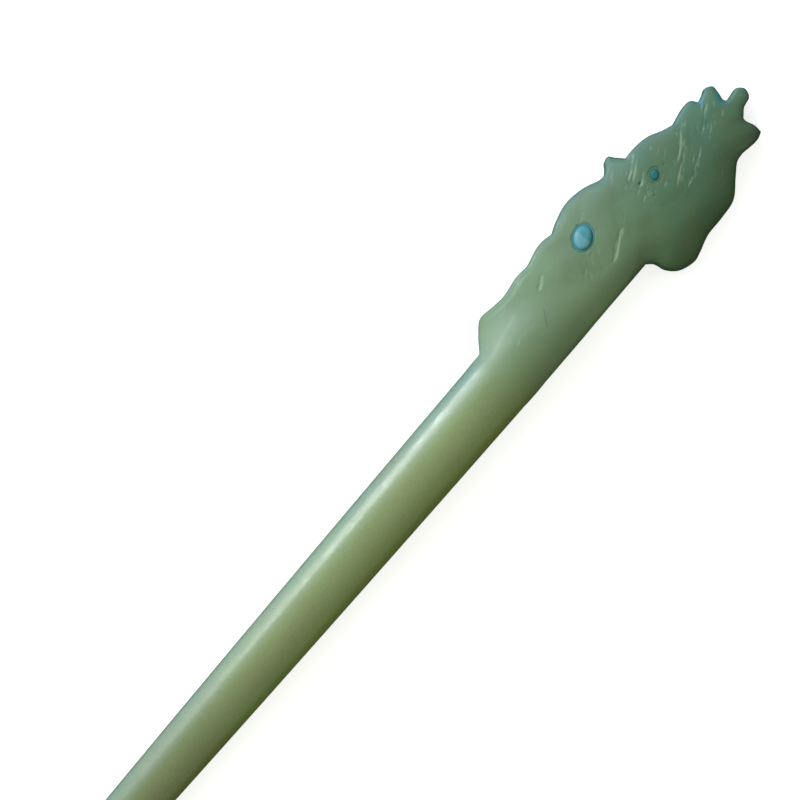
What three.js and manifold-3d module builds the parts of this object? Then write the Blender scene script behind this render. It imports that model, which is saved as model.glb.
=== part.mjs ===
// Hair pin carved from one blank of green stone, with two oval cabochons inlaid in its head.
//
// Millimetres. X runs along the shaft from its point towards the carved head, +Y is the crested side
// of the head and +Z is the front. The pin lies on its flat back in the plane z = 0. The origin is on
// that back, on the shaft's centre line, where the shaft meets the head.

import * as THREE from "three";
import { mergeVertices } from "three/addons/utils/BufferGeometryUtils.js";
import Module from "manifold-3d";

const wasm = await Module();
wasm.setup();

// Shaft: an oval section that tapers to a blunt point.
const SHAFT_LENGTH = 128.2;
const SHAFT_WIDTH = 9.6;
const SHAFT_THICKNESS = 7.6;
const TAPER_START = 1.15;
const TAPER_BLUNTNESS = 0.28;
const SHAFT_STEPS = 30;
const SHAFT_SIDES = 40;
const SHOULDER_AXIS_HEIGHT = 3.5;
const POINT_AXIS_HEIGHT = 1.6;

// The shaft's root runs on inside the head and closes there.
const ROOT_LENGTH = 16;
const ROOT_STEPS = 6;

// Head: a thick plate with a crowned front that grows thinner towards its prongs.
const HEAD_LENGTH = 51.85;
const HEAD_HALF_WIDTH = 9.6;
const HEAD_THICKNESS_AT_SHAFT = 7.2;
const HEAD_THICKNESS_AT_PRONGS = 5.6;
const CROWN_DROP = 2.3;
const CROWN_SIDES = 160;
const EDGE_BEVEL = 0.35;
// In the neck the front sinks until it disappears into the shaft.
const NECK_START = -2.1;
const NECK_BEND = 2.8;
const NECK_END = 7;
const NECK_SINK = 2.6;
const OUTLINE_DETAIL = 3;

// Inlays: each cabochon lies in a cup of cement, and the cup fills an oval seat in the head.
const CEMENT_THICKNESS = 0.25;
const BOND_LINE = 0.02;
const LARGE_STONE = { x: 21.25, y: 4.5, length: 3.5, width: 2.55, turn: 31, height: 1.6, standsProud: 0.45 };
const SMALL_STONE = { x: 34.4, y: 2.65, length: 1.6, width: 1.15, turn: 36, height: 1.0, standsProud: 0.15 };
const STONE_SIDES = 28;
const GIRDLE_SHARE = 0.35;
const CROWN_STEPS = 8;

const WELD = 1e-4;

const jade = new THREE.MeshStandardMaterial({ color: 0x86a184, roughness: 0.25, metalness: 0 });
const paleBlueStone = new THREE.MeshStandardMaterial({ color: 0x559fac, roughness: 0.15, metalness: 0 });
const tealStone = new THREE.MeshStandardMaterial({ color: 0x23777c, roughness: 0.15, metalness: 0 });
const tealCement = new THREE.MeshStandardMaterial({ color: 0x2f6f70, roughness: 0.5, metalness: 0 });

// A closed geometry as a solid that can be joined and cut.
function toSolid(geometry) {
  const bare = geometry.clone();
  bare.deleteAttribute("normal");
  bare.deleteAttribute("uv");
  const merged = mergeVertices(bare, WELD);
  const vertProperties = new Float32Array(merged.attributes.position.array);
  const triVerts = new Uint32Array(merged.index.array);
  return new wasm.Manifold(new wasm.Mesh({ numProp: 3, vertProperties, triVerts }));
}

function toGeometry(solid) {
  const { vertProperties, triVerts } = solid.getMesh();
  const geometry = new THREE.BufferGeometry();
  geometry.setAttribute("position", new THREE.BufferAttribute(vertProperties, 3));
  geometry.setIndex(new THREE.BufferAttribute(triVerts, 1));
  geometry.computeVertexNormals();
  return geometry;
}

function toMesh(name, geometry, material) {
  const mesh = new THREE.Mesh(geometry, material);
  mesh.name = name;
  return mesh;
}

// Half the shaft's width at a distance from the shoulder.
function shaftHalfWidth(distance) {
  const left = Math.max(1 - (distance / SHAFT_LENGTH) ** TAPER_START, 0);
  return 0.5 * SHAFT_WIDTH * left ** TAPER_BLUNTNESS;
}

// The shaft and its root, turned about its axis, flattened to an oval and tipped so that its underside
// comes down to the back's plane along most of its length.
function shaftSolid() {
  const profile = [new THREE.Vector2(0, -SHAFT_LENGTH)];
  for (let step = SHAFT_STEPS - 1; step >= 0; step -= 1) {
    // Steps crowd together towards the point, where the taper is quickest.
    const distance = SHAFT_LENGTH * Math.sin((0.5 * Math.PI * step) / SHAFT_STEPS);
    profile.push(new THREE.Vector2(shaftHalfWidth(distance), -distance));
  }
  for (let step = 1; step < ROOT_STEPS; step += 1) {
    const share = step / ROOT_STEPS;
    profile.push(new THREE.Vector2(0.5 * SHAFT_WIDTH * Math.sqrt(1 - share ** 2), ROOT_LENGTH * share));
  }
  profile.push(new THREE.Vector2(0, ROOT_LENGTH));

  const geometry = new THREE.LatheGeometry(profile, SHAFT_SIDES);
  geometry.rotateZ(-0.5 * Math.PI);
  geometry.scale(1, 1, SHAFT_THICKNESS / SHAFT_WIDTH);
  geometry.rotateY(-Math.atan((SHOULDER_AXIS_HEIGHT - POINT_AXIS_HEIGHT) / SHAFT_LENGTH));
  geometry.translate(0, 0, SHOULDER_AXIS_HEIGHT);
  return toSolid(geometry);
}

// The head's outline, seen from the front. Each list is one smooth stretch, and the stretches meet in
// corners: the crested side from the shoulder to the prongs, then the plain side back to the shaft.
function headOutline() {
  const stretches = [
    // shoulder bump and the two low scallops after it
    [[1.4, 6.7], [3.3, 8.05], [6, 7.75], [8, 7.6], [11, 8], [13.2, 7.85]],
    [[16.5, 8.55], [18.9, 8.2]],
    // round crest over the large stone
    [[20.5, 8.85], [23.4, 9.5], [26.4, 9.1], [28.9, 8.05]],
    // fin
    [[30, 8.05], [31.2, 9.15]],
    [[32.2, 9.35], [32.7, 8.6], [33.6, 7.3]],
    // round crest over the small stone
    [[35.5, 7.35], [37.75, 7.0], [39.9, 5.95], [41.5, 5.35]],
    // last scallop
    [[44, 5.9], [45.6, 5.85], [46.2, 4.7]],
    // first prong
    [[47.3, 4.95], [48.2, 5.3], [49.2, 4.65], [49.1, 3.6], [48.7, 2.35]],
    // second prong
    [[49, 1.85], [50.2, 1.95], [51.1, 2], [51.85, 1], [51.3, -0.25], [49.8, -0.65], [48.6, -1.6]],
    // corner spike
    [[48.6, -2.2], [48.95, -3.45], [48.85, -4.75]],
    [[47.4, -5.1], [44.8, -4.75]],
    // throat and lower lobe
    [[43.5, -5], [41.7, -6.3], [39.2, -8.1], [36.2, -8.5], [33.2, -8.6], [30.6, -9.35], [29, -9.6],
      [26.8, -8.85], [25.5, -7.3], [25.1, -5.6], [24.3, -4.65]],
    // plain edge, flush with the shaft's side
    [[0, -4.75]],
    // tongue buried in the shaft
    [[-3, -3.4], [-4.5, 0], [-3, 3.4], [-0.3, 4.95]],
  ];
  const shape = new THREE.Shape();
  shape.moveTo(-0.3, 4.95);
  for (const stretch of stretches) {
    if (stretch.length === 1) {
      shape.lineTo(...stretch[0]);
    } else {
      shape.splineThru(stretch.map(([x, y]) => new THREE.Vector2(x, y)));
    }
  }
  return shape;
}

// Everything below the head's crowned front: a large cylinder along the head, tipped towards the prongs.
function crownSolid() {
  const radius = (HEAD_HALF_WIDTH ** 2 + CROWN_DROP ** 2) / (2 * CROWN_DROP);
  const geometry = new THREE.CylinderGeometry(radius, radius, 3 * HEAD_LENGTH, CROWN_SIDES);
  geometry.rotateZ(0.5 * Math.PI);
  geometry.translate(0, 0, -radius);
  geometry.rotateY(Math.atan((HEAD_THICKNESS_AT_SHAFT - HEAD_THICKNESS_AT_PRONGS) / HEAD_LENGTH));
  geometry.translate(0, 0, HEAD_THICKNESS_AT_SHAFT);
  return toSolid(geometry);
}

// Everything below the neck's rising front and everything past the neck.
function neckSolid() {
  const start = -0.5 * ROOT_LENGTH;
  const share = NECK_END / HEAD_LENGTH;
  const height = THREE.MathUtils.lerp(HEAD_THICKNESS_AT_SHAFT, HEAD_THICKNESS_AT_PRONGS, share);
  const top = 2 * HEAD_THICKNESS_AT_SHAFT;
  const profile = new THREE.Shape();
  profile.moveTo(start, -top);
  profile.lineTo(start, height - NECK_SINK);
  profile.lineTo(NECK_START, height - NECK_SINK);
  profile.quadraticCurveTo(NECK_BEND, height, NECK_END, height);
  profile.lineTo(NECK_END, top);
  profile.lineTo(2 * HEAD_LENGTH, top);
  profile.lineTo(2 * HEAD_LENGTH, -top);
  const width = 4 * HEAD_HALF_WIDTH;
  const geometry = new THREE.ExtrudeGeometry(profile, { depth: width, curveSegments: 10, bevelEnabled: false });
  geometry.rotateX(0.5 * Math.PI);
  geometry.translate(0, 0.5 * width, 0);
  return toSolid(geometry);
}

function headSolid(crown) {
  const geometry = new THREE.ExtrudeGeometry(headOutline(), {
    depth: 2 * HEAD_THICKNESS_AT_SHAFT,
    curveSegments: OUTLINE_DETAIL,
    bevelSize: EDGE_BEVEL,
    bevelOffset: -EDGE_BEVEL,
    bevelThickness: EDGE_BEVEL,
    bevelSegments: 2,
  });
  geometry.translate(0, 0, EDGE_BEVEL);
  return toSolid(geometry).intersect(crown).intersect(neckSolid());
}

// The half-space above the back's plane, as a slab that is larger than the pin.
function aboveBack() {
  const size = 2 * SHAFT_LENGTH;
  const geometry = new THREE.BoxGeometry(2 * size, size, size);
  geometry.translate(0, 0, 0.5 * size);
  return toSolid(geometry);
}

// Height of the head's front face over the back at a place on it.
function frontHeight(x, y) {
  const radius = (HEAD_HALF_WIDTH ** 2 + CROWN_DROP ** 2) / (2 * CROWN_DROP);
  const share = x / HEAD_LENGTH;
  const ridge = THREE.MathUtils.lerp(HEAD_THICKNESS_AT_SHAFT, HEAD_THICKNESS_AT_PRONGS, share);
  return ridge - radius + Math.sqrt(radius ** 2 - y ** 2);
}

// The height of a stone's flat base over the back.
function stoneBase(stone) {
  return frontHeight(stone.x, stone.y) + stone.standsProud - stone.height;
}

// An upright oval prism round a stone's outline, grown sideways by a margin, from one height to another.
function ovalPrism(stone, margin, from, to) {
  const shape = new THREE.Shape();
  const turn = THREE.MathUtils.degToRad(stone.turn);
  shape.absellipse(0, 0, 0.5 * stone.length + margin, 0.5 * stone.width + margin, 0, 2 * Math.PI, false, turn);
  const geometry = new THREE.ExtrudeGeometry(shape, {
    depth: to - from,
    curveSegments: STONE_SIDES,
    bevelEnabled: false,
  });
  geometry.translate(stone.x, stone.y, from);
  return toSolid(geometry);
}

// The oval pocket that the cement fills, open at the front.
function seatSolid(stone) {
  const floor = stoneBase(stone) - CEMENT_THICKNESS - BOND_LINE;
  return ovalPrism(stone, CEMENT_THICKNESS + BOND_LINE, floor, 2 * HEAD_THICKNESS_AT_SHAFT);
}

// A cup of cement round the stone, its rim flush with the head's front.
function cementGeometry(stone, crown) {
  const base = stoneBase(stone);
  const top = 2 * HEAD_THICKNESS_AT_SHAFT;
  const outer = ovalPrism(stone, CEMENT_THICKNESS, base - CEMENT_THICKNESS, top);
  const inner = ovalPrism(stone, BOND_LINE, base - BOND_LINE, 2 * top);
  return toGeometry(outer.subtract(inner).intersect(crown));
}

// An oval cabochon: a flat base, an upright girdle and a low dome.
function cabochonGeometry(stone) {
  const girdle = GIRDLE_SHARE * stone.height;
  const profile = [new THREE.Vector2(0, 0), new THREE.Vector2(1, 0)];
  for (let step = 0; step < CROWN_STEPS; step += 1) {
    const angle = (0.5 * Math.PI * step) / CROWN_STEPS;
    profile.push(new THREE.Vector2(Math.cos(angle), girdle + (stone.height - girdle) * Math.sin(angle)));
  }
  profile.push(new THREE.Vector2(0, stone.height));
  const geometry = new THREE.LatheGeometry(profile, STONE_SIDES);
  geometry.rotateX(0.5 * Math.PI);
  geometry.scale(0.5 * stone.length, 0.5 * stone.width, 1);
  geometry.rotateZ(THREE.MathUtils.degToRad(stone.turn));
  geometry.translate(stone.x, stone.y, stoneBase(stone));
  return geometry;
}

function bodyGeometry(crown) {
  return toGeometry(
    shaftSolid()
      .add(headSolid(crown))
      .intersect(aboveBack())
      .subtract(seatSolid(LARGE_STONE))
      .subtract(seatSolid(SMALL_STONE)),
  );
}

const crown = crownSolid();
const hairPin = new THREE.Group();
hairPin.add(toMesh("pin_body", bodyGeometry(crown), jade));
hairPin.add(toMesh("large_cabochon_cement", cementGeometry(LARGE_STONE, crown), tealCement));
hairPin.add(toMesh("large_cabochon", cabochonGeometry(LARGE_STONE), paleBlueStone));
hairPin.add(toMesh("small_cabochon_cement", cementGeometry(SMALL_STONE, crown), tealCement));
hairPin.add(toMesh("small_cabochon", cabochonGeometry(SMALL_STONE), tealStone));

export default hairPin;
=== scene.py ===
"""The visual model of a carved green stone hair pin with two inlaid cabochons.

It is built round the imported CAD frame, in the same axes: X runs along the shaft towards the head, +Y is
the head's crested side, +Z is the front, and the pin lies on its flat back. Shapes are worked out in
millimetres, as in the CAD source, and written to Blender in metres.
"""

import math

import bpy
import numpy as np
from mathutils import Matrix, Vector


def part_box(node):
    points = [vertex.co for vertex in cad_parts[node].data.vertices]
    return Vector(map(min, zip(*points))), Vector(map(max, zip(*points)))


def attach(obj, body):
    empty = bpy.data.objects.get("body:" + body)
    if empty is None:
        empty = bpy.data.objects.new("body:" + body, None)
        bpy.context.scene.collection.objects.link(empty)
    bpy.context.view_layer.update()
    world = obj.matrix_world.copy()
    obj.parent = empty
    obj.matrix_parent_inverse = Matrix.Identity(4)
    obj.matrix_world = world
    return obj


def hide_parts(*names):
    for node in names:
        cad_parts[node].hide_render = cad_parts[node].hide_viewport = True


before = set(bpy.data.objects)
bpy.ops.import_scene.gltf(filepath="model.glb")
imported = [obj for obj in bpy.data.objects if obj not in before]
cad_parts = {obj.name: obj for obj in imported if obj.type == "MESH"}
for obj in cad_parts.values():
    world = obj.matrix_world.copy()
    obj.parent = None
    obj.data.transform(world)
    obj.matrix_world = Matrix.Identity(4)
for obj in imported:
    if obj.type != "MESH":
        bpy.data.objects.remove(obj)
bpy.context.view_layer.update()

MM = 0.001


def box_mm(node):
    """A CAD node's lowest and highest corners, in millimetres."""
    return tuple(np.array(corner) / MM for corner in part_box(node))


PIN_LOW, PIN_HIGH = box_mm("pin_body")

# ---------------------------------------------------------------------------------------------------
# Driving dimensions, in millimetres
# ---------------------------------------------------------------------------------------------------

# Shaft: an oval section that tapers to a blunt point, its axis tipped down towards the point. Its root
# runs on inside the head.
SHAFT_LENGTH = -PIN_LOW[0]
SHAFT_WIDTH = 9.6
SHAFT_THICKNESS = 7.6
TAPER_START = 1.15
TAPER_BLUNTNESS = 0.28
SHOULDER_AXIS_HEIGHT = 3.5
POINT_AXIS_HEIGHT = 1.6
ROOT_LENGTH = 16.0

# Head: a thick plate with a crowned front that grows thinner towards its prongs.
HEAD_LENGTH = PIN_HIGH[0]
HEAD_THICKNESS_AT_SHAFT = 7.2
HEAD_THICKNESS_AT_PRONGS = 5.6
CROWN_RADIUS = 21.0
NECK_CROWN_RADIUS = 8.0
FRONT_ROUNDING = 0.45
BACK_ROUNDING = 0.6
NECK_BACK_ROUNDING = 3.0
SILHOUETTE_ROUNDING = 0.15
POLISH_UNEVENNESS = 0.05

# Neck: the head's front sinks towards the shaft until it disappears in it, and the two are blended.
# A span is where along X a change starts and where it ends.
NECK_SINK = 2.2
NECK_SINK_SPAN = (-4, 12)
TONGUE_SINK = 1.6
TONGUE_SINK_SPAN = (-4.5, 1.5)
CROWN_SPAN = (-3, 13)
NECK_BACK_SPAN = (2, 17)
SHAFT_BLEND = 2.4

# Sides of the head: how far in from its edge the front starts to fall, and how far it falls. The
# plain side falls more past the neck and less again at the corner spike.
CREST_SIDE = (1.3, 0.35)
PLAIN_SIDE = (4.6, 2.1)
PLAIN_SHARE_AT_NECK = 0.75
PLAIN_SHARE_GROWTH = 0.3
PLAIN_GROWTH_SPAN = (12, 26)
PLAIN_SHARE_LOST_AT_SPIKE = 0.6
SPIKE_SPAN = (42, 47)

# Inlays: each stone lies in a cup of cement, and the cup fills an oval seat in the head. The girdle,
# where a stone's dome starts, lies a little under the head's front.
CEMENT_THICKNESS = 0.25
BOND_LINE = 0.02
SEAT_MARGIN = CEMENT_THICKNESS + BOND_LINE
SEAT_EDGE_ROUNDING = 0.06
GIRDLE_SINK = 0.1
DOME_FULLNESS = 0.55

# Carving: the share of its drawn depth that a worn gouge has left, the depths at which gouges show their
# full pale colour and furrows and pits their full painted shade, and the width of the finest scratches.
WORN_SHARE = 0.55
FULL_CUT = 0.07
FULL_FURROW = 0.05
FULL_PIT = 0.1
SCRATCH_WIDTH = 0.26

# Ring lines round the stones, and the line inside the crested edge.
RING_DEPTH = 0.02
RING_HALF_WIDTH = 0.4
RING_BAND = 2.5
RIM_LINE_DEPTH = 0.05
RIM_LINE_INSET = 0.75
RIM_LINE_HALF_WIDTH = 0.25

# The body's grid: its step is coarse along the shaft and fine on the carved head, and it reaches a
# little past the body. PLAN_STEP is for the quantities that are worked out once over the head's plan.
FINE_STEP = 0.145
SHAFT_STEP = 2.0
SHAFT_STEP_FADE = 10.0
HEIGHT_STEP = 0.3
GRID_MARGIN = 0.5
LOWEST_LAYER = -0.43
PLAN_STEP = 0.07

# The head's outline from the front. Each list is one smooth stretch, and stretches meet in corners.
OUTLINE = [
    # shoulder bump and the two low scallops after it
    [(-0.3, 4.95), (1.4, 6.7), (3.3, 8.05), (6, 7.75), (8, 7.6), (11, 8), (13.2, 7.85)],
    [(13.2, 7.85), (16.5, 8.55), (18.9, 8.2)],
    # round crest over the large stone
    [(18.9, 8.2), (20.5, 8.85), (23.4, 9.5), (26.4, 9.1), (28.9, 8.05)],
    # fin
    [(28.9, 8.05), (30, 8.05), (31.2, 9.15)],
    [(31.2, 9.15), (32.2, 9.35), (32.7, 8.6), (33.6, 7.3)],
    # round crest over the small stone
    [(33.6, 7.3), (35.5, 7.35), (37.75, 7), (39.9, 5.95), (41.5, 5.35)],
    # last scallop
    [(41.5, 5.35), (44, 5.85), (45.5, 5.75), (46.2, 4.7)],
    # first prong
    [(46.2, 4.7), (47.3, 4.95), (48.2, 5.3), (49.2, 4.65), (49.1, 3.6), (48.7, 2.35)],
    # second prong
    [(48.7, 2.35), (49, 1.85), (50.2, 1.95), (51.1, 2), (51.85, 1), (51.3, -0.25), (49.8, -0.65),
     (48.6, -1.6)],
    # corner spike
    [(48.6, -1.6), (48.6, -2.2), (48.95, -3.45), (48.85, -4.75)],
    [(48.85, -4.75), (47.4, -5.1), (44.8, -4.75)],
    # throat and lower lobe
    [(44.8, -4.75), (43.5, -5), (41.7, -6.3), (39.2, -8.1), (36.2, -8.5), (33.2, -8.6), (30.6, -9.35),
     (29, -9.6), (26.8, -8.85), (25.5, -7.3), (25.1, -5.6), (24.3, -4.65)],
    # plain edge, flush with the shaft's side
    [(24.3, -4.65), (0, -4.75)],
    # tongue buried in the shaft
    [(0, -4.75), (-3, -3.4), (-4.5, 0), (-3, 3.4), (-0.3, 4.95)],
]

# Cuts in the head's front: the points along each cut, its width and its depth. Most lean the same way.
GOUGES = [
    # the neck of the head
    ([(2.6, 1.35), (3.6, 1.55), (5.3, 2.2)], 0.4, 0.13),
    ([(11.5, 4.3), (12.5, 4.85), (13.7, 5.45)], 0.75, 0.22),
    # above and below the large stone
    ([(22.7, 6.3), (23.3, 6.55), (24.0, 6.85)], 0.45, 0.1),
    ([(19.2, 1.5), (20.3, 2.1), (21.3, 2.65)], 0.35, 0.1),
    ([(20.6, 1.75), (21.7, 2.35)], 0.35, 0.1),
    ([(20.7, 1.35), (21.8, 2.0)], 0.35, 0.08),
    ([(18.2, 2.2), (19.3, 2.75)], 0.35, 0.06),
    ([(17.4, 0.7), (18.4, 1.5)], 0.35, 0.08),
    ([(17.3, -0.3), (18.2, 0.35)], 0.35, 0.06),
    ([(16.2, 1.1), (17.1, 1.85)], 0.4, 0.06),
    ([(18.2, -1.0), (19.6, -0.65)], 0.5, 0.05),
    # the long gouge under the large stone
    ([(21.4, -1.0), (22.6, -0.4), (24.2, 0.55), (26.2, 1.25)], 0.8, 0.24),
    ([(26.2, 1.4), (27.4, 2.3), (28.4, 3.4)], 0.45, 0.05),
    # strokes that run up to the fin and the crest after it
    ([(29.2, 6.2), (30.7, 7.6)], 0.45, 0.1),
    ([(30.6, 4.1), (31.8, 4.5), (33.4, 5.3), (35.3, 6.7)], 0.4, 0.13),
    ([(31.2, 4.9), (32.6, 5.5), (34.0, 6.5), (35.2, 6.95)], 0.45, 0.16),
    ([(31.6, 3.1), (32.6, 3.35), (33.8, 4.25)], 0.4, 0.13),
    ([(30.6, 2.6), (31.9, 3.2)], 0.35, 0.08),
    ([(31.7, 2.0), (32.8, 2.55)], 0.35, 0.09),
    ([(31.7, 0.75), (32.9, 1.15)], 0.35, 0.08),
    ([(30.7, 0.1), (31.4, 0.65)], 0.35, 0.06),
    ([(34.0, 0.45), (35.3, 1.15)], 0.35, 0.1),
    ([(36.5, 5.2), (37.5, 6.1)], 0.35, 0.06),
    ([(36.5, 4.1), (37.8, 4.95)], 0.35, 0.06),
    ([(36.8, 3.1), (38.5, 4.1)], 0.35, 0.06),
    # the long feathers that sweep to the prongs
    ([(35.0, -0.9), (36.7, 0.15), (38.5, 1.05), (40.4, 2.2)], 0.42, 0.14),
    ([(37.6, 1.3), (39.5, 2.35), (41.2, 3.65), (43.0, 4.95)], 0.45, 0.16),
    ([(39.3, 2.9), (41.2, 3.95), (42.5, 4.85)], 0.35, 0.08),
    ([(38.6, 1.2), (40.4, 2.4)], 0.35, 0.07),
    ([(36.0, -1.95), (37.9, -1.55), (39.0, -0.85), (40.8, -0.2), (41.7, 0.45)], 0.45, 0.15),
    ([(38.8, -0.45), (40.6, 0.6)], 0.4, 0.07),
    ([(42.9, 0.1), (44.4, 1.0), (45.9, 1.9)], 0.36, 0.12),
    ([(44.0, 2.1), (45.6, 3.1), (47.3, 4.2)], 0.34, 0.12),
    ([(45.2, 3.5), (46.6, 4.4)], 0.32, 0.1),
    ([(45.6, 2.9), (47.4, 3.9)], 0.3, 0.08),
    ([(42.4, 1.9), (44.3, 3.1)], 0.3, 0.06),
    ([(46.7, 0.85), (47.8, 1.55)], 0.35, 0.06),
    # the throat
    ([(41.6, -2.95), (43.2, -2.2)], 0.5, 0.07),
    ([(39.8, -4.7), (41.2, -4.15)], 0.5, 0.05),
    ([(40.8, -6.0), (42.4, -4.95)], 0.5, 0.05),
]

# Narrow furrows, painted dark as shade in their recess.
FURROWS = [
    ([(8.2, -0.3), (9.5, 1.4), (10.6, 2.75)], 0.35, 0.05),
    ([(29.3, 6.1), (30.5, 7.5)], 0.3, 0.04),
    ([(41.9, -3.0), (43.0, -2.2)], 0.4, 0.04),
    ([(35.8, -2.3), (37.9, -2.0)], 0.3, 0.03),
    ([(23.9, 0.95), (26.0, 1.6)], 0.25, 0.03),
]

# Small pits: place, radius and depth.
PITS = [
    ((32.15, 3.45), 0.28, 0.22),
    ((32.2, 1.95), 0.2, 0.12),
    ((32.25, 0.75), 0.2, 0.12),
    ((35.05, 0.6), 0.2, 0.12),
    ((36.35, 2.65), 0.2, 0.14),
    ((44.0, 0.35), 0.2, 0.08),
    ((48.4, -1.25), 0.15, 0.06),
]

# Patches of fine scratches between the gouges: where a patch starts, its length and width, how many
# scratches it holds and the angle they lean at.
SCRATCH_PATCHES = [
    ((30.8, 4.2), 4.6, 1.6, 12, 36),
    ((36.0, -0.6), 8.5, 2.6, 30, 36),
    ((36.6, -2.0), 5.0, 0.9, 8, 24),
    ((43.6, 1.0), 4.6, 2.2, 10, 34),
    ((31.0, 1.0), 3.0, 2.0, 8, 28),
    ((17.5, 0.6), 4.2, 1.6, 10, 34),
    ((21.6, -0.8), 4.6, 0.7, 7, 28),
]

# Teal tint in the notches between the prongs: place and radius.
NOTCH_TINTS = [
    ((46.3, 4.6), 0.65),
    ((48.6, 3.3), 0.5),
    ((48.3, 2.4), 0.7),
]


# ---------------------------------------------------------------------------------------------------
# Curves and distances in the plan of the head
# ---------------------------------------------------------------------------------------------------

def smooth_curve(points, per_span=10):
    """Points along a Catmull-Rom curve through the given points."""
    points = np.array(points, float)
    if len(points) == 2:
        return points
    padded = np.vstack([2 * points[0] - points[1], points, 2 * points[-1] - points[-2]])
    t = np.linspace(0, 1, per_span, endpoint=False)[:, None]
    spans = []
    for before, start, end, after in zip(padded, padded[1:], padded[2:], padded[3:]):
        spans.append(0.5 * (2 * start + (end - before) * t
                            + (2 * before - 5 * start + 4 * end - after) * t ** 2
                            + (3 * start - before - 3 * end + after) * t ** 3))
    return np.vstack(spans + [points[-1:]])


def nearest_on_line(x, y, line):
    """Distance from each place to a polyline, and how far along the line the nearest point is, 0 to 1."""
    best = np.full(x.shape, np.inf)
    along = np.zeros(x.shape)
    lengths = np.hypot(*np.diff(line, axis=0).T)
    total, passed = lengths.sum(), 0.0
    for (ax, ay), (bx, by), length in zip(line, line[1:], lengths):
        dx, dy = bx - ax, by - ay
        share = np.clip(((x - ax) * dx + (y - ay) * dy) / length ** 2, 0, 1)
        distance = np.hypot(x - ax - share * dx, y - ay - share * dy)
        nearer = distance < best
        best = np.where(nearer, distance, best)
        along = np.where(nearer, (passed + share * length) / total, along)
        passed += length
    return best, along


def inside_loop(x, y, loop):
    """True where a place is inside a closed polyline."""
    inside = np.zeros(x.shape, bool)
    for (ax, ay), (bx, by) in zip(loop, loop[1:]):
        if ay == by:
            continue
        crosses = (ay > y) != (by > y)
        inside ^= crosses & (x < ax + (y - ay) * (bx - ax) / (by - ay))
    return inside


class PlanField:
    """A quantity worked out once on a grid over the head's plan and read back between its points."""

    def __init__(self, function, low=(-9.0, -11.5), high=(54.0, 11.5)):
        self.low = np.array(low)
        xs = np.arange(low[0], high[0], PLAN_STEP)
        ys = np.arange(low[1], high[1], PLAN_STEP)
        self.values = function(*np.meshgrid(xs, ys, indexing="ij"))

    def __call__(self, x, y):
        u = np.clip((x - self.low[0]) / PLAN_STEP, 0, self.values.shape[0] - 1.001)
        v = np.clip((y - self.low[1]) / PLAN_STEP, 0, self.values.shape[1] - 1.001)
        i, j = u.astype(int), v.astype(int)
        u, v = u - i, v - j
        near = self.values[i, j] * (1 - u) + self.values[i + 1, j] * u
        far = self.values[i, j + 1] * (1 - u) + self.values[i + 1, j + 1] * u
        return near * (1 - v) + far * v


def outline_distance(x, y):
    """Distance to the head's outline, negative inside it."""
    loop = np.vstack([smooth_curve(stretch)[:-1] for stretch in OUTLINE] + [OUTLINE[0][:1]])
    distance, _ = nearest_on_line(x, y, loop)
    return np.where(inside_loop(x, y, loop), -distance, distance)


def smooth_step(value, low, high):
    """0 below low, 1 above high, and a smooth rise between them."""
    share = np.clip((value - low) / (high - low), 0, 1)
    return share * share * (3 - 2 * share)


# ---------------------------------------------------------------------------------------------------
# Inlaid stones: places and sizes come from the CAD nodes
# ---------------------------------------------------------------------------------------------------

class Inlay:
    """One oval stone and its seat. Its long axis leans over by the given angle."""

    def __init__(self, node, length, width, turn):
        low, high = box_mm(node)
        self.node = node
        self.x, self.y = (low[:2] + high[:2]) / 2
        self.base, self.top = low[2], high[2]
        self.half_length, self.half_width = length / 2, width / 2
        self.turn = math.radians(turn)

    def local(self, x, y):
        """Places in the stone's own axes."""
        cos, sin = math.cos(self.turn), math.sin(self.turn)
        return (x - self.x) * cos + (y - self.y) * sin, (y - self.y) * cos - (x - self.x) * sin

    def rim(self, margin, angle):
        """A point on the oval that is a margin outside the stone's edge."""
        u = (self.half_length + margin) * math.cos(angle)
        v = (self.half_width + margin) * math.sin(angle)
        cos, sin = math.cos(self.turn), math.sin(self.turn)
        return self.x + u * cos - v * sin, self.y + u * sin + v * cos

    def distance(self, x, y, margin):
        """Roughly the distance to that oval, negative inside it."""
        u, v = self.local(x, y)
        a, b = self.half_length + margin, self.half_width + margin
        share = np.hypot(u / a, v / b)
        slope = np.hypot(u / a ** 2, v / b ** 2)
        return share * (share - 1) / np.maximum(slope, 1e-6)


LARGE = Inlay("large_cabochon", length=3.5, width=2.56, turn=31)
SMALL = Inlay("small_cabochon", length=1.6, width=1.15, turn=36)

# Each stone with the radius of the ring line round it.
RINGS = [(LARGE, 5.3), (SMALL, 4.6)]


# ---------------------------------------------------------------------------------------------------
# The carved body as an implicit solid: negative inside, zero on the surface
# ---------------------------------------------------------------------------------------------------

def chipping(x, y):
    """The tool skips and crumbles the stone, so a cut's depth keeps changing along it."""
    skips = np.sin(9.1 * x + 4.7 * y + 0.6) * np.sin(12.7 * y - 6.3 * x)
    crumbs = np.sin(19.3 * x - 11.9 * y) * np.sin(17.1 * x + 14.3 * y + 1.1)
    return 0.9 + 0.3 * skips + 0.2 * crumbs


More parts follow.
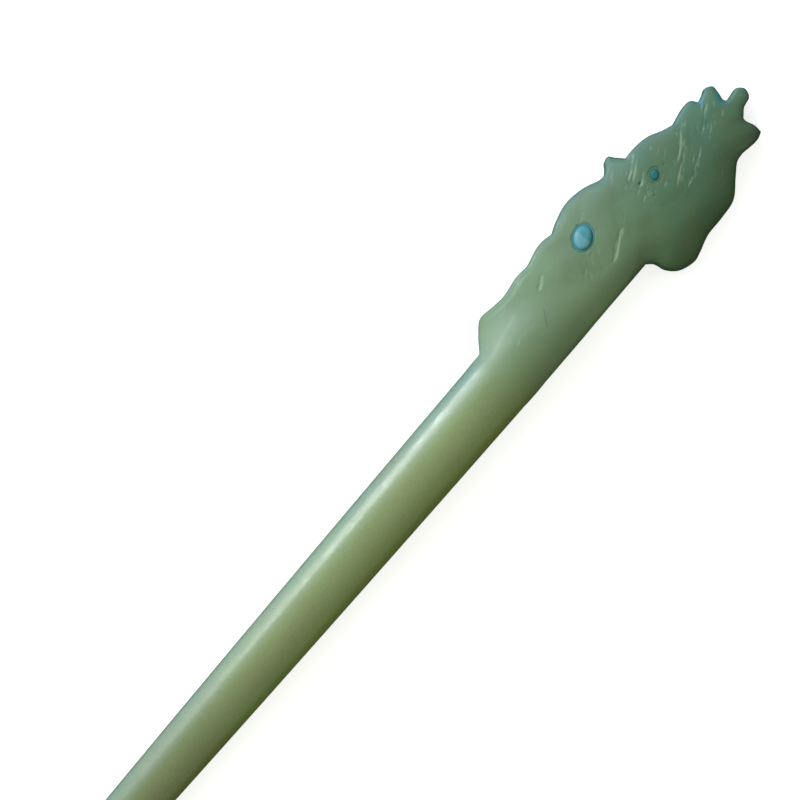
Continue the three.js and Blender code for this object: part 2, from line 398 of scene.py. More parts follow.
def cut_depth(x, y, cuts):
    """How deep a set of cuts goes into the head's front."""
    depth = np.zeros(x.shape)
    for points, width, cut in cuts:
        line = smooth_curve(points, 6)
        reach = 3 * width
        low, high = line.min(0) - reach, line.max(0) + reach
        near = (x > low[0]) & (x < high[0]) & (y > low[1]) & (y < high[1])
        distance, along = nearest_on_line(x[near], y[near], line)
        # A cut is thin at both ends and widest a little before its middle. Its walls are soft.
        fullness = np.sqrt(np.clip(np.sin(math.pi * along ** 0.8), 0, 1))
        half = 0.5 * width * (0.35 + 0.65 * fullness)
        profile = cut * fullness * np.exp(-(distance / (0.6 * half)) ** 2)
        depth[near] = np.maximum(depth[near], profile * chipping(x[near], y[near]))
    return depth


def fine_scratches():
    """Short thin scratches strewn over the patches, as cuts."""
    chance = np.random.default_rng(7)
    cuts = []
    for (px, py), length, width, count, lean in SCRATCH_PATCHES:
        for _ in range(count):
            angle = math.radians(lean + chance.normal(0, 4))
            along, across = chance.uniform(0, length), chance.uniform(-0.5, 0.5) * width
            reach = chance.uniform(0.5, 1.9)
            slope = math.radians(lean)
            x = px + along * math.cos(slope) - across * math.sin(slope)
            y = py + along * math.sin(slope) + across * math.cos(slope)
            dx, dy = reach * math.cos(angle) / 2, reach * math.sin(angle) / 2
            cuts.append(([(x - dx, y - dy), (x + dx, y + dy)], SCRATCH_WIDTH, chance.uniform(0.04, 0.12)))
    return cuts


def pit_depth(x, y):
    """Round hollows with soft edges."""
    depth = np.zeros(x.shape)
    for (px, py), radius, cut in PITS:
        depth = np.maximum(depth, cut * np.exp(-((x - px) ** 2 + (y - py) ** 2) / (0.6 * radius) ** 2))
    return depth


def ring_depth(x, y):
    """A shallow ring line round each stone, on the side away from the crest, and the faint hollow of
    the band inside it."""
    depth = np.zeros(x.shape)
    for stone, radius in RINGS:
        distance = np.hypot(x - stone.x, y - stone.y)
        angle = np.arctan2(stone.y - y, x - stone.x)
        shown = RING_DEPTH * smooth_step(np.sin(angle), -0.1, 0.5)
        depth += shown * np.exp(-((distance - radius) / RING_HALF_WIDTH) ** 2)
        depth += 0.5 * shown * smooth_step(distance, radius - RING_BAND, radius) * (distance < radius)
    return depth


def rim_depth(x, distance):
    """The line that runs just inside the crested edge, from the shoulder to the second scallop."""
    shown = smooth_step(x, -0.5, 1.5) * (1 - smooth_step(x, 11, 15))
    return RIM_LINE_DEPTH * shown * np.exp(-((distance + RIM_LINE_INSET) / RIM_LINE_HALF_WIDTH) ** 2)


OUTLINE_FIELD = PlanField(outline_distance)
GOUGE_FIELD = PlanField(lambda x, y: WORN_SHARE * cut_depth(x, y, GOUGES + fine_scratches()))
FURROW_FIELD = PlanField(lambda x, y: cut_depth(x, y, FURROWS))
PIT_FIELD = PlanField(pit_depth)


def side_fall(inward, reach, fall):
    """How far the front has fallen at a distance inside the edge: a quarter of an oval."""
    share = np.clip((reach - inward) / reach, 0, 0.98)
    return fall * (1 - np.sqrt(1 - share ** 2))


def front_height(x, y, inward):
    """Height of the head's front over the back, before the carving. The crown is as round as the shaft
    where it starts and flattens into the head; the plain side falls away more than the crested one."""
    ridge = HEAD_THICKNESS_AT_SHAFT + (HEAD_THICKNESS_AT_PRONGS - HEAD_THICKNESS_AT_SHAFT) * x / HEAD_LENGTH
    radius = NECK_CROWN_RADIUS + (CROWN_RADIUS - NECK_CROWN_RADIUS) * smooth_step(x, *CROWN_SPAN)
    neck_sink = NECK_SINK * (1 - smooth_step(x, *NECK_SINK_SPAN))
    sink = neck_sink + TONGUE_SINK * (1 - smooth_step(x, *TONGUE_SINK_SPAN))
    plain = smooth_step(-y, -1.5, 3.5) * (1 - PLAIN_SHARE_LOST_AT_SPIKE * smooth_step(x, *SPIKE_SPAN))
    plain = plain * (PLAIN_SHARE_AT_NECK + PLAIN_SHARE_GROWTH * smooth_step(x, *PLAIN_GROWTH_SPAN))
    crest = smooth_step(y, -3.5, 1.5)
    sides = crest * side_fall(inward, *CREST_SIDE) + plain * side_fall(inward, *PLAIN_SIDE)
    return ridge - y ** 2 / (2 * radius) - sink - sides


def carved_height(x, y):
    """Height of the head's front with its carving."""
    outline = OUTLINE_FIELD(x, y)
    upper = np.where(y > 0, 1.0, 0.0)
    cuts = np.maximum(GOUGE_FIELD(x, y), FURROW_FIELD(x, y)) + PIT_FIELD(x, y)
    carving = cuts + ring_depth(x, y) + upper * rim_depth(x, outline)
    # Slow unevenness that hand polishing leaves.
    waves = POLISH_UNEVENNESS * np.sin(0.55 * x + 0.4 * y) * np.sin(0.8 * y - 0.3 * x + 1.0)
    return front_height(x, y, -outline) + waves - carving


def both(first, second, rounding):
    """Where two solids overlap, with the edge between them rounded."""
    corner = np.hypot(np.maximum(first + rounding, 0), np.maximum(second + rounding, 0))
    return np.minimum(np.maximum(first, second), -rounding) + corner


def either(first, second, reach):
    """Two solids joined, with the crease between them filled where they are less than a reach apart."""
    overlap = np.maximum(reach - np.abs(first - second), 0) / reach
    return np.minimum(first, second) - overlap ** 2 * reach / 4


def shaft_half_width(x):
    """Half the shaft's width, and the half-width of the root that runs on inside the head."""
    distance = np.clip(-x / SHAFT_LENGTH, 0, 1)
    shaft = 0.5 * SHAFT_WIDTH * np.maximum(1 - distance ** TAPER_START, 1e-6) ** TAPER_BLUNTNESS
    root = np.sqrt(np.clip(1 - (np.maximum(x, 0) / ROOT_LENGTH) ** 2, 1e-6, 1))
    return np.maximum(shaft * root, 0.02)


def shaft_solid(x, y, z):
    """The tapering oval shaft and its root."""
    half_width = shaft_half_width(x)
    half_thickness = half_width * SHAFT_THICKNESS / SHAFT_WIDTH
    axis = SHOULDER_AXIS_HEIGHT + (SHOULDER_AXIS_HEIGHT - POINT_AXIS_HEIGHT) * x / SHAFT_LENGTH
    share = np.hypot(y / half_width, (z - axis) / half_thickness)
    slope = np.hypot(y / half_width ** 2, (z - axis) / half_thickness ** 2)
    return share * (share - 1) / np.maximum(slope, 1e-6)


def body_solid(x, y, z):
    """The whole carved body at the given places."""
    outline = OUTLINE_FIELD(x, y)
    head = both(outline, z - carved_height(x, y), FRONT_ROUNDING)
    # In the neck the head's back is as round as the shaft's.
    neck = 1 - smooth_step(x, *NECK_BACK_SPAN)
    head = both(head, -z, BACK_ROUNDING + (NECK_BACK_ROUNDING - BACK_ROUNDING) * neck)
    # The silhouette keeps its crisp inner corner where the shaft's side meets the shoulder.
    silhouette = np.minimum(outline, np.abs(y) - shaft_half_width(x))
    solid = both(either(shaft_solid(x, y, z), head, SHAFT_BLEND), silhouette, SILHOUETTE_ROUNDING)
    solid = both(solid, -z, BACK_ROUNDING)
    for stone in (LARGE, SMALL):
        floor = stone.base - SEAT_MARGIN
        seat = np.maximum(stone.distance(x, y, SEAT_MARGIN), floor - z)
        solid = both(solid, -seat, SEAT_EDGE_ROUNDING)
    return solid


# ---------------------------------------------------------------------------------------------------
# Surface of an implicit solid
# ---------------------------------------------------------------------------------------------------

def stepped(low, high, step_at):
    """Grid positions from low to high, each step as long as step_at says."""
    places = [low]
    while places[-1] < high:
        places.append(places[-1] + step_at(places[-1]))
    return np.array(places)


def surface_net(solid, xs, ys, zs):
    """Points and quads of the surface where solid is zero, one point to a grid cell that it crosses."""
    values = solid(*np.meshgrid(xs, ys, zs, indexing="ij"))
    inside = values < 0
    counts = np.array(values.shape) - 1
    crossings = np.zeros(tuple(counts) + (3,))
    hits = np.zeros(tuple(counts))
    grids = (xs, ys, zs)
    quads = []
    edges = []
    for axis in range(3):
        low = [slice(None)] * 3
        high = [slice(None)] * 3
        low[axis], high[axis] = slice(None, -1), slice(1, None)
        low, high = tuple(low), tuple(high)
        first, second = values[low], values[high]
        changed = inside[low] != inside[high]
        where = np.argwhere(changed)
        a, b = first[changed], second[changed]
        share = a / (a - b)
        points = np.stack([grids[k][where[:, k]] for k in range(3)], axis=1).astype(float)
        line = grids[axis]
        points[:, axis] += share * (line[where[:, axis] + 1] - line[where[:, axis]])
        edges.append((axis, where, a < 0))
        others = [k for k in range(3) if k != axis]
        for step_a in (0, 1):
            for step_b in (0, 1):
                cell = where.copy()
                cell[:, others[0]] -= step_a
                cell[:, others[1]] -= step_b
                kept = np.all((cell >= 0) & (cell < counts), axis=1)
                index = tuple(cell[kept].T)
                np.add.at(crossings, index, points[kept])
                np.add.at(hits, index, 1)
    numbers = np.full(tuple(counts), -1)
    used = hits > 0
    numbers[used] = np.arange(used.sum())
    points = crossings[used] / hits[used][:, None]
    for axis, where, solid_first in edges:
        others = [k for k in range(3) if k != axis]
        around = []
        for step_a, step_b in ((0, 0), (1, 0), (1, 1), (0, 1)):
            cell = where.copy()
            cell[:, others[0]] -= step_a
            cell[:, others[1]] -= step_b
            around.append(numbers[tuple(cell.T)])
        quad = np.stack(around, axis=1)
        turned = solid_first if axis != 1 else ~solid_first
        quad[turned] = quad[turned][:, ::-1]
        quads.append(quad)
    return points, np.vstack(quads)


def gradient(solid, points, step=0.02):
    """How fast the solid's value rises along each axis at the given points."""
    parts = []
    for axis in range(3):
        shift = np.zeros(3)
        shift[axis] = step
        ahead, behind = (points + shift).T, (points - shift).T
        parts.append((solid(*ahead) - solid(*behind)) / (2 * step))
    return np.stack(parts, axis=1)


def pull_to_surface(solid, points, rounds=3, most=0.12):
    """Moves points along the solid's gradient until they lie on its surface."""
    for _ in range(rounds):
        slope = gradient(solid, points)
        move = solid(*points.T)[:, None] * slope / np.maximum((slope ** 2).sum(1), 0.05)[:, None]
        length = np.linalg.norm(move, axis=1, keepdims=True)
        points = points - move * np.minimum(1, most / np.maximum(length, 1e-9))
    return points


def new_mesh(name, points_mm, faces):
    """A smooth-shaded mesh object from points in millimetres."""
    mesh = bpy.data.meshes.new(name)
    mesh.from_pydata((np.asarray(points_mm) * MM).tolist(), [], [list(map(int, f)) for f in faces])
    mesh.validate()
    mesh.shade_smooth()
    piece = bpy.data.objects.new(name, mesh)
    bpy.context.scene.collection.objects.link(piece)
    return piece


def add_piece(piece, node, material):
    """Lets a piece stand for a CAD node: gives it its own material, attaches it to the root body and hides
    the node.
    """
    piece.data.materials.append(material)
    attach(piece, "root")
    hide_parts(node)


def store(piece, name, values):
    """Keeps a value from 0 to 1 for each point of a mesh, for its material to read."""
    layer = piece.data.attributes.new(name, "FLOAT", "POINT")
    layer.data.foreach_set("value", np.clip(values, 0, 1).astype(np.float32))


def along_step(x):
    """The mesh's step along the pin: fine on the head and near the point, coarse between them."""
    near_head = np.interp(x, [-2 - SHAFT_STEP_FADE, -2], [SHAFT_STEP, FINE_STEP])
    near_point = np.interp(x, [PIN_LOW[0], PIN_LOW[0] + SHAFT_STEP_FADE], [FINE_STEP, SHAFT_STEP])
    return min(near_head, near_point)


def rim_shade_share(x, y, z):
    """How much painted shade a place gets on the front's rim, where the stone is painted darker. The rim is
    wider on the crested side and grows stronger away from the neck."""
    outline = OUTLINE_FIELD(x, y)
    rim = np.where(y > 0, smooth_step(outline, -1.3, -0.1), 0.7 * smooth_step(outline, -0.6, -0.1))
    rim = rim * smooth_step(z - carved_height(x, y), -1.2, -0.5)
    return rim * smooth_step(x, -0.5, 4.0) * (0.45 + 0.55 * smooth_step(x, 12, 24))


def make_body(material):
    """The whole carved blank as one mesh, with the values that its material reads."""
    xs = stepped(PIN_LOW[0] - GRID_MARGIN, PIN_HIGH[0] + GRID_MARGIN, along_step)
    ys = stepped(PIN_LOW[1] - GRID_MARGIN, PIN_HIGH[1] + GRID_MARGIN, lambda _: FINE_STEP)
    zs = stepped(LOWEST_LAYER, PIN_HIGH[2] + GRID_MARGIN, lambda _: HEIGHT_STEP)
    points, quads = surface_net(body_solid, xs, ys, zs)
    points = pull_to_surface(body_solid, points)
    body = new_mesh("carved_body", points, quads)
    x, y, z = points.T
    front = z > 0.4 * HEAD_THICKNESS_AT_PRONGS
    store(body, "cut", front * GOUGE_FIELD(x, y) / FULL_CUT)
    # Painted shade in the furrows and pits.
    store(body, "recess_shade", front * (FURROW_FIELD(x, y) / FULL_FURROW + PIT_FIELD(x, y) / FULL_PIT))
    # A teal tint in the notches between the prongs.
    store(body, "notch_tint", sum(np.exp(-((x - px) ** 2 + (y - py) ** 2) / radius ** 2)
                             for (px, py), radius in NOTCH_TINTS))
    # The rim's painted shade, stored for the material to read.
    store(body, "edge", rim_shade_share(x, y, z))
    add_piece(body, "pin_body", material)


def surface_at(x, y):
    """Height of the carved front at one place."""
    return float(carved_height(np.array([x]), np.array([y]))[0])


def ring_faces(rings, sides):
    """Quads between neighbouring rings of points."""
    faces = []
    for ring in range(rings - 1):
        for side in range(sides):
            after = (side + 1) % sides
            low, high = ring * sides, (ring + 1) * sides
            faces.append((low + side, low + after, high + after, high + side))
    return faces


def oval_piece(name, stone, loops, sides=96):
    """A closed piece of stacked ovals. Each loop is a margin outside the stone's edge, as a share of the
    stone's size, and a height function of a place."""
    points = []
    for share, margin, height in loops:
        for side in range(sides):
            x, y = stone.rim(margin, 2 * math.pi * side / sides)
            x, y = stone.x + (x - stone.x) * share, stone.y + (y - stone.y) * share
            points.append((x, y, height(x, y)))
    faces = ring_faces(len(loops), sides)
    faces.append(tuple(reversed(range(sides))))
    faces.append(tuple(range(len(points) - sides, len(points))))
    return new_mesh(name, points, faces)


def make_cabochon(name, stone, material, steps=22):
    """A low dome with a softly rolled edge, on an upright girdle that follows the front's slope."""
    middle = surface_at(stone.x, stone.y) - GIRDLE_SINK
    slope_x = (surface_at(stone.x + 1, stone.y) - surface_at(stone.x - 1, stone.y)) / 2
    slope_y = (surface_at(stone.x, stone.y + 1) - surface_at(stone.x, stone.y - 1)) / 2

    def level(height):
        return lambda x, y: stone.base + height

    def dome(rise):
        return lambda x, y: middle + rise + slope_x * (x - stone.x) + slope_y * (y - stone.y)

    loops = [(0.9, 0, level(0)), (0.98, 0, level(0.02)), (1.0, 0, level(0.08))]
    for step in range(steps):
        angle = 0.5 * math.pi * step / steps
        loops.append((math.cos(angle) ** DOME_FULLNESS, 0, dome((stone.top - middle) * math.sin(angle))))
    add_piece(oval_piece(name, stone, loops), stone.node, material)


def make_cement(name, stone, drop, material):
    """A cup of cement whose rim sinks a little between the stone and the edge of the seat, and laps
    over that edge's tiny bevel onto the front."""
    outside, inside = CEMENT_THICKNESS, BOND_LINE

    def level(depth):
        return lambda x, y: stone.base - depth

    def below_front(depth):
        return lambda x, y: surface_at(x, y) - depth

    floor = [(0.9, outside, level(CEMENT_THICKNESS)), (1.0, outside, level(CEMENT_THICKNESS))]
    lap = [(1.0, outside, below_front(0.14)), (1.0, 0.34, below_front(0.015)),
           (1.0, 0.33, below_front(-0.005))]
    rim = [(1.0, margin, below_front(share * drop))
           for margin, share in ((outside, 0.4), (0.2, 0.8), (0.13, 1.0), (0.06, 0.8), (inside, 0.4))]
    bed = [(1.0, inside, level(BOND_LINE)), (0.9, inside, level(BOND_LINE))]
    piece = oval_piece(name, stone, floor + lap + rim + bed)
    add_piece(piece, stone.node + "_cement", material)


# ---------------------------------------------------------------------------------------------------
# Materials: colours are linear, and every place and length in them is in metres
# ---------------------------------------------------------------------------------------------------

# The angles at which the stone's veins and the streaks in its cuts lean.
VEIN_LEAN = math.radians(36)
STREAK_LEAN = math.radians(35)


class Nodes:
    """A small helper for building one node material."""

    def __init__(self, name):
        self.material = bpy.data.materials.new(name)
        self.material.use_nodes = True
        self.tree = self.material.node_tree
        self.shader = self.tree.nodes["Principled BSDF"]

    def add(self, kind, inputs=None, **settings):
        node = self.tree.nodes.new(kind)
        for key, value in settings.items():
            setattr(node, key, value)
        for key, value in (inputs or {}).items():
            self.set(node.inputs[key], value)
        return node

    def set(self, socket, value):
        if isinstance(value, bpy.types.NodeSocket):
            self.tree.links.new(value, socket)
        else:
            socket.default_value = value

    def attribute(self, name):
        return self.add("ShaderNodeAttribute", attribute_name=name).outputs["Fac"]

    def place(self, stretch=(1, 1, 1), turn=0):
        """The place in the frame, in metres, turned about Z and then stretched along its axes."""
        place = self.add("ShaderNodeTexCoord").outputs["Object"]
        if turn:
            turned = self.add("ShaderNodeMapping", {"Vector": place, "Rotation": (0, 0, turn)})
            place = turned.outputs["Vector"]
        return self.add("ShaderNodeMapping", {"Vector": place, "Scale": stretch}).outputs["Vector"]

    def noise(self, scale, detail=3, roughness=0.5, stretch=(1, 1, 1), turn=0, distortion=0):
        inputs = {"Vector": self.place(stretch, turn), "Scale": scale, "Detail": detail,
                  "Roughness": roughness, "Distortion": distortion}
        return self.add("ShaderNodeTexNoise", inputs).outputs["Fac"]

    def range(self, value, low, high, to_low=0.0, to_high=1.0):
        """A smooth change from to_low, where the value is low, to to_high, where it is high."""
        inputs = {"Value": value, "From Min": low, "From Max": high, "To Min": to_low, "To Max": to_high}
        return self.add("ShaderNodeMapRange", inputs, interpolation_type="SMOOTHSTEP").outputs["Result"]

    def mix(self, share, first, second, blend="MIX"):
        node = self.add("ShaderNodeMix", data_type="RGBA", blend_type=blend)
        self.set(node.inputs["Factor"], share)
        self.set(node.inputs[6], first)
        self.set(node.inputs[7], second)
        return node.outputs[2]

    def math(self, operation, first, second=0.0):
        node = self.add("ShaderNodeMath", operation=operation)
        self.set(node.inputs[0], first)
        self.set(node.inputs[1], second)
        return node.outputs[0]

    def bump(self, height, strength, distance, normal=None):
        inputs = {"Height": height, "Strength": strength, "Distance": distance}
        if normal is not None:
            inputs["Normal"] = normal
        return self.add("ShaderNodeBump", inputs).outputs["Normal"]


def jade_places(n, x, y):
    """The stone's colour by place, in metres: paler in the shaft, cooler and deeper in the head. Painted
    light is mixed in too: a bluish painted sheen on the lit crested side of the shaft, a warm olive painted
    shade on its plain side, and painted shade on the lower lobe and the corner spike.
    """
    point_sage = (0.19, 0.24, 0.1, 1)
    sage = (0.275, 0.34, 0.138, 1)
    neck_green = (0.174, 0.26, 0.125, 1)
    head_green = (0.074, 0.168, 0.093, 1)
    # Painted light: the next four colours are a bluish painted sheen, a warm painted shade and two darker
    # painted shades.
    painted_sheen_blue = (0.13, 0.235, 0.2, 1)
    painted_shade_olive = (0.24, 0.34, 0.075, 1)
    lobe_painted_shade = (0.055, 0.125, 0.05, 1)
    spike_painted_shade = (0.03, 0.055, 0.04, 1)
    colour = n.mix(n.range(x, -0.08, -0.045), point_sage, sage)
    colour = n.mix(n.range(x, -0.012, 0.008), colour, neck_green)
    colour = n.mix(n.range(x, 0.014, 0.040), colour, head_green)
    # Painted sheen: the shaft's crested side, which faces the light, is painted bluish.
    crest_sheen_share = n.math("MULTIPLY", n.range(y, 0.0022, 0.0046, 0, 0.6), n.range(x, 0.003, -0.004))
    colour = n.mix(crest_sheen_share, colour, painted_sheen_blue)
    # Painted shade: the shaft's plain side, away from the light, is painted warm olive.
    plain_shade_share = n.math("MULTIPLY", n.range(y, -0.0005, -0.004, 0, 0.6), n.range(x, 0.004, -0.006))
    colour = n.mix(plain_shade_share, colour, painted_shade_olive)
    # Painted shade: the lower lobe and the corner spike, away from the light, are painted darker.
    lobe = n.math("MULTIPLY", n.range(x, 0.020, 0.030), n.range(y, -0.001, -0.0095))
    colour = n.mix(lobe, colour, lobe_painted_shade)
    spike = n.math("MULTIPLY", n.range(x, 0.0445, 0.0485), n.range(y, -0.0015, -0.0045))
    return n.mix(spike, colour, spike_painted_shade)


def jade_clouds(n, x, colour):
    """Brown mottling in the shaft, olive veins in the head, and pale clouds and flecks in both."""
    brown_cloud = (0.24, 0.25, 0.11, 1)
    olive_vein = (0.105, 0.165, 0.065, 1)
    pale_cloud = (0.52, 0.6, 0.5, 1)
    pale_fleck = (0.75, 0.82, 0.66, 1)
    mottle = n.range(n.noise(75, 3, 0.55, (0.5, 1, 1), distortion=0.8), 0.46, 0.66, 0, 0.45)
    colour = n.mix(n.math("MULTIPLY", mottle, n.range(x, 0.012, -0.004)), colour, brown_cloud)
    clouds = n.noise(110, 4, 0.55, (0.45, 1, 1), distortion=0.6)
    colour = n.mix(n.range(clouds, 0.35, 0.7, 0, 0.5), colour, pale_cloud, "SOFT_LIGHT")
    veins = n.noise(230, 4, 0.55, (0.4, 1, 1), turn=-VEIN_LEAN, distortion=0.5)
    veins = n.math("MULTIPLY", n.range(veins, 0.42, 0.62, 0, 0.5), n.range(x, 0.004, 0.026))
    colour = n.mix(veins, colour, olive_vein)
    flecks = n.noise(900, 3, 0.6, (0.35, 1, 1))
    return n.mix(n.range(flecks, 0.55, 0.8, 0, 0.03), colour, pale_fleck)


def jade_carving(n, cut, colour):
    """Painted shade on the rim, pale streaky cuts that are partly a painted glint, painted shade in furrows
    and pits, and a teal tint in the notches.
    """
    rim_painted_shade = (0.05, 0.13, 0.09, 1)
    frosted_cut_and_glint = (0.4, 0.57, 0.38, 1)
    recess_painted_shade = (0.02, 0.05, 0.03, 1)
    notch_teal = (0.02, 0.19, 0.175, 1)
    # Painted shade: the front's rim is painted darker.
    colour = n.mix(n.range(n.attribute("edge"), 0, 1, 0, 0.6), colour, rim_painted_shade)
    # Pale cuts: the frosted colour of a cut, and partly a painted glint on its walls.
    streaks = n.noise(3500, 3, 0.6, (0.12, 1, 1), turn=-STREAK_LEAN)
    broken_cut = n.math("ADD", cut, n.range(streaks, 0.3, 0.7, -0.45, 0.35))
    shown = n.math("MULTIPLY", n.range(broken_cut, 0.12, 1.0, 0, 0.48), n.range(cut, 0.02, 0.2))
    colour = n.mix(shown, colour, frosted_cut_and_glint)
    # Painted shade: furrows and pits are painted dark.
    colour = n.mix(n.range(n.attribute("recess_shade"), 0.1, 1, 0, 0.65), colour, recess_painted_shade)
    # A teal tint in the notches between the prongs.
    return n.mix(n.range(n.attribute("notch_tint"), 0.05, 1, 0, 0.85), colour, notch_teal)


def jade_material():
    """Cloudy sage-green stone with a waxy polish under a trace of gloss."""
    n = Nodes("polished_jade")
    axes = n.add("ShaderNodeSeparateXYZ", {"Vector": n.place()})
    x, y = axes.outputs["X"], axes.outputs["Y"]
    cut = n.attribute("cut")
    colour = jade_clouds(n, x, jade_places(n, x, y))
    n.set(n.shader.inputs["Base Color"], jade_carving(n, cut, colour))
    # The smooth shaft is glossier than the carved head, and the gouges are duller than both.
    polish = n.range(n.noise(450, 4, 0.6), 0.3, 0.7, 0.42, 0.52)
    polish = n.math("SUBTRACT", polish, n.range(x, -0.0005, -0.0035, 0, 0.2))
    n.set(n.shader.inputs["Roughness"], n.math("ADD", polish, n.range(cut, 0.1, 1.0, 0, 0.15)))
    n.set(n.shader.inputs["IOR"], 1.6)
    n.set(n.shader.inputs["Coat Weight"], 0.06)
    n.set(n.shader.inputs["Coat Roughness"], 0.11)
    n.set(n.shader.inputs["Subsurface Weight"], 0.35)
    n.set(n.shader.inputs["Subsurface Radius"], (0.9, 1.4, 0.8))
    n.set(n.shader.inputs["Subsurface Scale"], 0.0012)
    waves = n.bump(n.noise(260, 3, 0.5), 0.08, 0.0004)
    scratches = n.bump(n.noise(1500, 2, 0.5, (0.12, 1, 1)), 0.06, 0.0001, waves)
    n.set(n.shader.inputs["Normal"], scratches)
    return n.material


def cabochon_material(name, deep, pale, rough, highlight_from=-1.0):
    """Polished blue-green stone with a paler cloud, and a painted highlight: a pale half on the shaft's
    side of highlight_from, an X that lies far off by default, so that there is no painted highlight."""
    n = Nodes(name)
    cloud = n.range(n.noise(420, 3, 0.5, distortion=0.5), 0.35, 0.65)
    x = n.add("ShaderNodeSeparateXYZ", {"Vector": n.place()}).outputs["X"]
    # Painted highlight: the half on the shaft's side is painted paler.
    half = n.range(x, highlight_from + 0.0003, highlight_from - 0.0002)
    share = n.math("ADD", n.math("MULTIPLY", cloud, 0.5), half)
    n.set(n.shader.inputs["Base Color"], n.mix(share, deep, pale))
    n.set(n.shader.inputs["Roughness"], n.range(n.noise(1200, 3), 0.3, 0.7, rough, rough + 0.08))
    n.set(n.shader.inputs["IOR"], 1.45)
    n.set(n.shader.inputs["Normal"], n.bump(n.noise(900, 2), 0.05, 0.0002))
    return n.material


def cement_material(name, dark, light):
    """Resin cement, slightly grainy."""
    n = Nodes(name)
    grain = n.noise(2500, 3, 0.6)
    n.set(n.shader.inputs["Base Color"], n.mix(grain, dark, light))
    n.set(n.shader.inputs["Roughness"], n.range(grain, 0.3, 0.7, 0.3, 0.45))
    n.set(n.shader.inputs["Normal"], n.bump(grain, 0.2, 0.0001))
    return n.material


def floor_material():
    """Matt off-white that gives off a little light of its own, so that it stays pale all over."""
    n = Nodes("pale_floor")
    tone = n.mix(n.noise(6, 2), (0.86, 0.86, 0.86, 1), (0.9, 0.9, 0.9, 1))
    n.set(n.shader.inputs["Base Color"], tone)
    n.set(n.shader.inputs["Roughness"], 0.85)
    n.set(n.shader.inputs["Specular IOR Level"], 0.2)
    n.set(n.shader.inputs["Emission Color"], (1, 1, 1, 1))
    n.set(n.shader.inputs["Emission Strength"], 0.7)
    return n.material


# ---------------------------------------------------------------------------------------------------
# Stage: floor, lights and camera
# ---------------------------------------------------------------------------------------------------

# Camera: the stretch that it sees across, the middle of the view, and how far the shaft leans over
# from upright in the picture.
VIEW_WIDTH = 0.112
VIEW_CENTRE = Vector((-0.0126, 0.00903, 0.0035))
LEAN = math.radians(40.8)
LENS, SENSOR = 240.0, 36.0

# Lights, in metres and watts: a broad window, a thin line and the tilt of the sky's bluish glow.
WINDOW_PLACE = (-0.02, 0.57, 0.33)
WINDOW_SIZE = (0.6, 0.3)
WINDOW_POWER = 1.4
LINE_LOW_END = Vector((0.0, 0.42, 0.05))
LINE_HIGH_END = Vector((-0.085, 0.42, 0.36))
LINE_THICKNESS = 0.03
LINE_POWER = 0.6
GLOW_TILT = math.radians(15)

# The floor: its half size, and how far it lies under the pin so that the two don't coincide.
FLOOR_REACH = 3.0
FLOOR_GAP = 0.00005


def make_floor():
    """A plain pale floor that neither lights nor shades the stone and doesn't mirror in it, so that the
    stone's edges stay dark."""
    signs = [(-1, -1), (1, -1), (1, 1), (-1, 1)]
    mesh = bpy.data.meshes.new("floor")
    mesh.from_pydata([(FLOOR_REACH * x, FLOOR_REACH * y, 0) for x, y in signs], [], [(0, 1, 2, 3)])
    floor = bpy.data.objects.new("floor", mesh)
    bpy.context.scene.collection.objects.link(floor)
    floor.location.z = -FLOOR_GAP
    mesh.materials.append(floor_material())
    floor.visible_diffuse = False
    floor.visible_glossy = False
    floor.visible_shadow = False


def aim(thing, place, target):
    """Puts a thing at a place, with its -Z axis towards the target."""
    thing.location = place
    thing.rotation_euler = (target - place).to_track_quat("-Z", "Y").to_euler()


def area_light(name, place, size, power, colour):
    """A rectangular light that faces the place where the shaft meets the head."""
    light = bpy.data.lights.new(name, "AREA")
    light.shape = "RECTANGLE"
    light.size, light.size_y = size
    light.energy = power
    light.color = colour
    lamp = bpy.data.objects.new(name, light)
    bpy.context.scene.collection.objects.link(lamp)
    aim(lamp, Vector(place), Vector((0, 0, 0)))
    return lamp


def line_light(name, start, end, thickness, power, colour):
    """A long thin light between two places that faces the pin."""
    along = end - start
    lamp = area_light(name, (start + end) / 2, (along.length, thickness), power, colour)
    across = along.normalized()
    back = (lamp.location - lamp.location.dot(across) * across).normalized()
    lamp.rotation_euler = Matrix((across, back.cross(across), back)).transposed().to_euler()


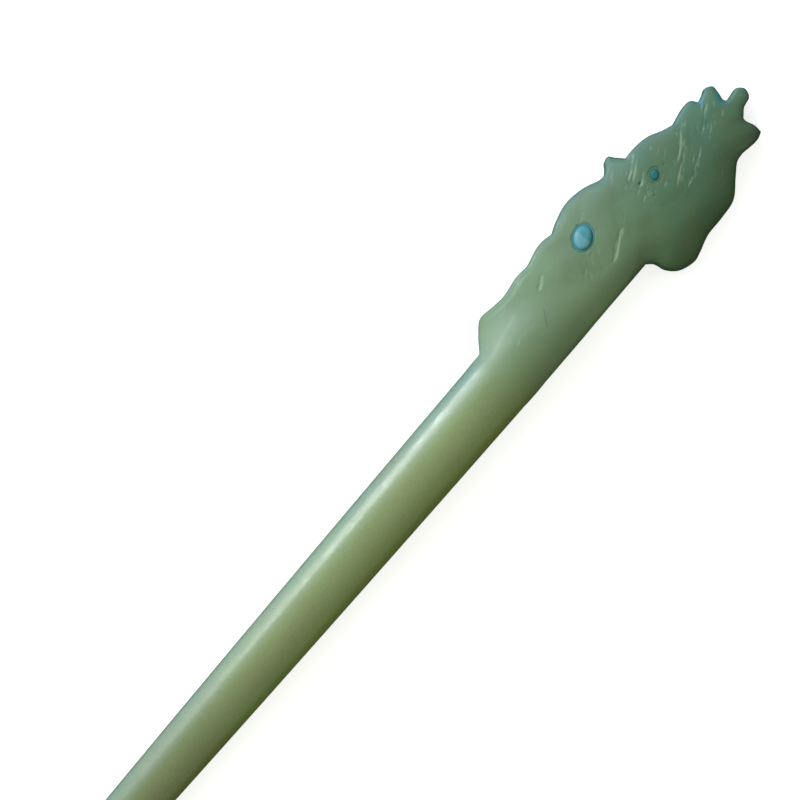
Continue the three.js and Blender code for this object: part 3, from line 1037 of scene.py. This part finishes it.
def make_world():
    """A dim sky over a dark surround, with a broad bluish glow on the crested side."""
    world = bpy.data.worlds.new("studio")
    world.use_nodes = True
    nodes, links = world.node_tree.nodes, world.node_tree.links
    direction = nodes.new("ShaderNodeTexCoord").outputs["Generated"]

    def background(name, colour, axis, low, high, dim, bright):
        """Light whose strength rises with how far a direction leans along an axis."""
        lean = nodes.new("ShaderNodeVectorMath")
        lean.operation = "DOT_PRODUCT"
        links.new(direction, lean.inputs[0])
        lean.inputs[1].default_value = axis
        rise = nodes.new("ShaderNodeMapRange")
        rise.interpolation_type = "SMOOTHSTEP"
        for key, value in (("From Min", low), ("From Max", high), ("To Min", dim), ("To Max", bright)):
            rise.inputs[key].default_value = value
        links.new(lean.outputs["Value"], rise.inputs["Value"])
        shader = nodes.new("ShaderNodeBackground")
        shader.name = name
        shader.inputs["Color"].default_value = colour
        links.new(rise.outputs["Result"], shader.inputs["Strength"])
        return shader.outputs["Background"]

    sky = background("sky", (0.98, 1.0, 0.85, 1), axis=(0, 0, 1), low=-0.1, high=0.2, dim=0.03, bright=0.42)
    towards = (0, math.cos(GLOW_TILT), math.sin(GLOW_TILT))
    glow = background("glow", (0.46, 0.63, 0.98, 1), axis=towards, low=0.5, high=1.0, dim=0, bright=2.35)
    both_shaders = nodes.new("ShaderNodeAddShader")
    links.new(sky, both_shaders.inputs[0])
    links.new(glow, both_shaders.inputs[1])
    links.new(both_shaders.outputs["Shader"], nodes["World Output"].inputs["Surface"])
    nodes.remove(nodes["Background"])
    bpy.context.scene.world = world


def make_lights():
    """A broad window on the crested side and the thin bright line that the shaft mirrors."""
    window = area_light("window", WINDOW_PLACE, WINDOW_SIZE, WINDOW_POWER, (1.0, 0.9, 0.85))
    window.visible_glossy = False
    line_light("line", LINE_LOW_END, LINE_HIGH_END, LINE_THICKNESS, LINE_POWER, (0.95, 1.0, 1.0))
    make_world()


def make_camera():
    """Straight above the pin's front, with the shaft leaning across the picture."""
    data = bpy.data.cameras.new("camera")
    data.lens, data.sensor_width = LENS, SENSOR
    camera = bpy.data.objects.new("camera", data)
    right = Vector((math.sin(LEAN), -math.cos(LEAN), 0))
    up = Vector((math.cos(LEAN), math.sin(LEAN), 0))
    back = Vector((0, 0, 1))
    distance = VIEW_WIDTH / 2 / (SENSOR / 2 / LENS)
    turned = Matrix((right, up, back)).transposed().to_4x4()
    camera.matrix_world = Matrix.Translation(VIEW_CENTRE + back * distance) @ turned
    data.clip_start, data.clip_end = 0.01, 10
    bpy.context.scene.collection.objects.link(camera)
    bpy.context.scene.camera = camera


make_camera()
make_floor()
make_lights()
bpy.context.scene.view_settings.view_transform = "Standard"

make_body(jade_material())
teal_cement = cement_material("teal_cement", (0.045, 0.19, 0.165, 1), (0.065, 0.24, 0.21, 1))
green_cement = cement_material("green_cement", (0.07, 0.165, 0.1, 1), (0.085, 0.19, 0.115, 1))
make_cement("large_seat_cement", LARGE, drop=0.05, material=teal_cement)
make_cement("small_seat_cement", SMALL, drop=0.02, material=green_cement)
pale_blue = cabochon_material("pale_blue_stone", deep=(0.035, 0.235, 0.25, 1), pale=(0.12, 0.33, 0.34, 1),
                              rough=0.4, highlight_from=LARGE.x * MM)
teal = cabochon_material("teal_stone", deep=(0.008, 0.14, 0.135, 1), pale=(0.012, 0.16, 0.15, 1), rough=0.5)
make_cabochon("large_stone", LARGE, pale_blue)
make_cabochon("small_stone", SMALL, teal)
